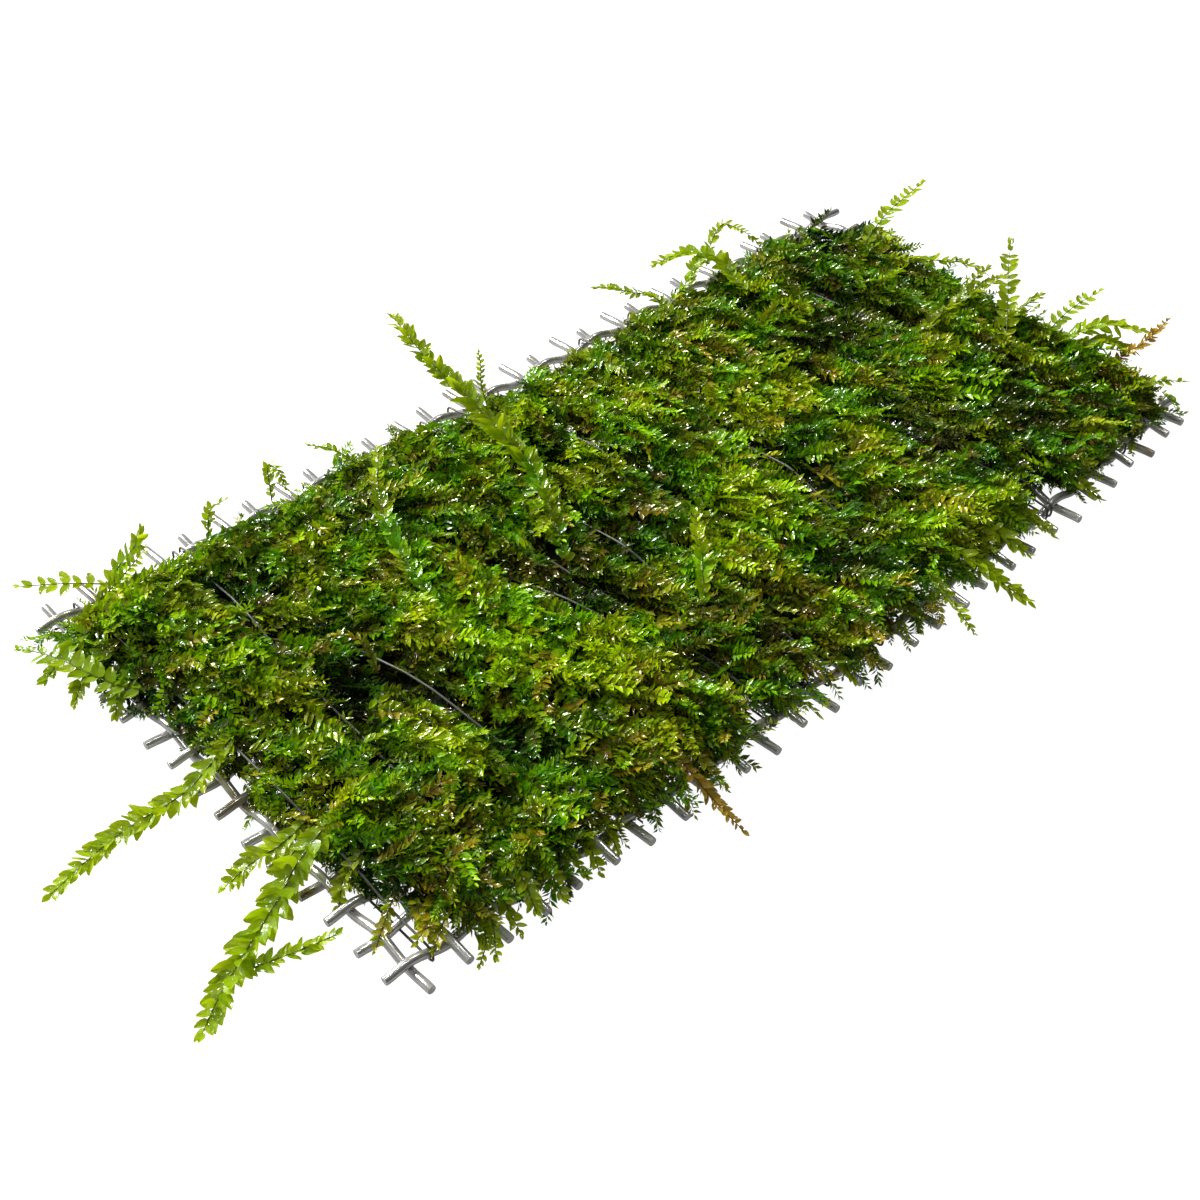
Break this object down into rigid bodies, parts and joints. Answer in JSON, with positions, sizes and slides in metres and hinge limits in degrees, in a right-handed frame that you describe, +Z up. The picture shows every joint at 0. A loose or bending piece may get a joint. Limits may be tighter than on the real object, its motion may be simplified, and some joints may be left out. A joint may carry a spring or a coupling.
{
  "type": "aquarium moss pad",
  "caption": "Java moss tied with thread onto a rectangle of woven steel wire mesh, which lies flat and lets the moss carpet the floor of an aquarium.",
  "frame": {"origin": "middle of the bounding box, at the level that the mesh rests on", "axes": "+X along the long wires, +Y along the short wires to the side that is far in the picture, +Z up out of the moss"},
  "size_m": [0.12, 0.0598, 0.0132],
  "materials": {
    "steel_wire": "bright drawn stainless wire",
    "moss": "wet living moss, mid to dark green",
    "frond": "wet young shoots, thin and yellow-green",
    "withered_frond": "withered shoots, brown and yellow",
    "nylon_thread": "thin smooth grey thread"
  },
  "bodies": {
    "root": {"wire_long_01": "steel_wire", "wire_long_02": "steel_wire", "wire_long_03": "steel_wire", "wire_long_04": "steel_wire", "wire_long_05": "steel_wire", "wire_long_06": "steel_wire", "wire_long_07": "steel_wire", "wire_long_08": "steel_wire", "wire_long_09": "steel_wire", "wire_long_10": "steel_wire", "wire_long_11": "steel_wire", "wire_long_12": "steel_wire", "wire_long_13": "steel_wire", "wire_long_14": "steel_wire", "wire_long_15": "steel_wire", "wire_short_01": "steel_wire", "wire_short_02": "steel_wire", "wire_short_03": "steel_wire", "wire_short_04": "steel_wire", "wire_short_05": "steel_wire", "wire_short_06": "steel_wire", "wire_short_07": "steel_wire", "wire_short_08": "steel_wire", "wire_short_09": "steel_wire", "wire_short_10": "steel_wire", "wire_short_11": "steel_wire", "wire_short_12": "steel_wire", "wire_short_13": "steel_wire", "wire_short_14": "steel_wire", "wire_short_15": "steel_wire", "wire_short_16": "steel_wire", "wire_short_17": "steel_wire", "wire_short_18": "steel_wire", "wire_short_19": "steel_wire", "wire_short_20": "steel_wire", "wire_short_21": "steel_wire", "wire_short_22": "steel_wire", "wire_short_23": "steel_wire", "wire_short_24": "steel_wire", "wire_short_25": "steel_wire", "wire_short_26": "steel_wire", "wire_short_27": "steel_wire", "wire_short_28": "steel_wire", "wire_short_29": "steel_wire", "moss_mat": "moss", "tie_thread": "nylon_thread", "frond_far_curved": "frond", "frond_far_left": "frond", "frond_far_middle": "frond", "frond_far_right": "frond", "frond_left_broad": "frond", "frond_left_forked": "frond", "frond_left_long": "frond", "frond_left_short": "frond", "frond_near_right": "frond", "frond_near_withered": "withered_frond", "frond_right_brown": "withered_frond", "frond_right_middle": "frond", "frond_right_upright": "frond", "frond_upright": "frond"}
  },
  "joints": []
}
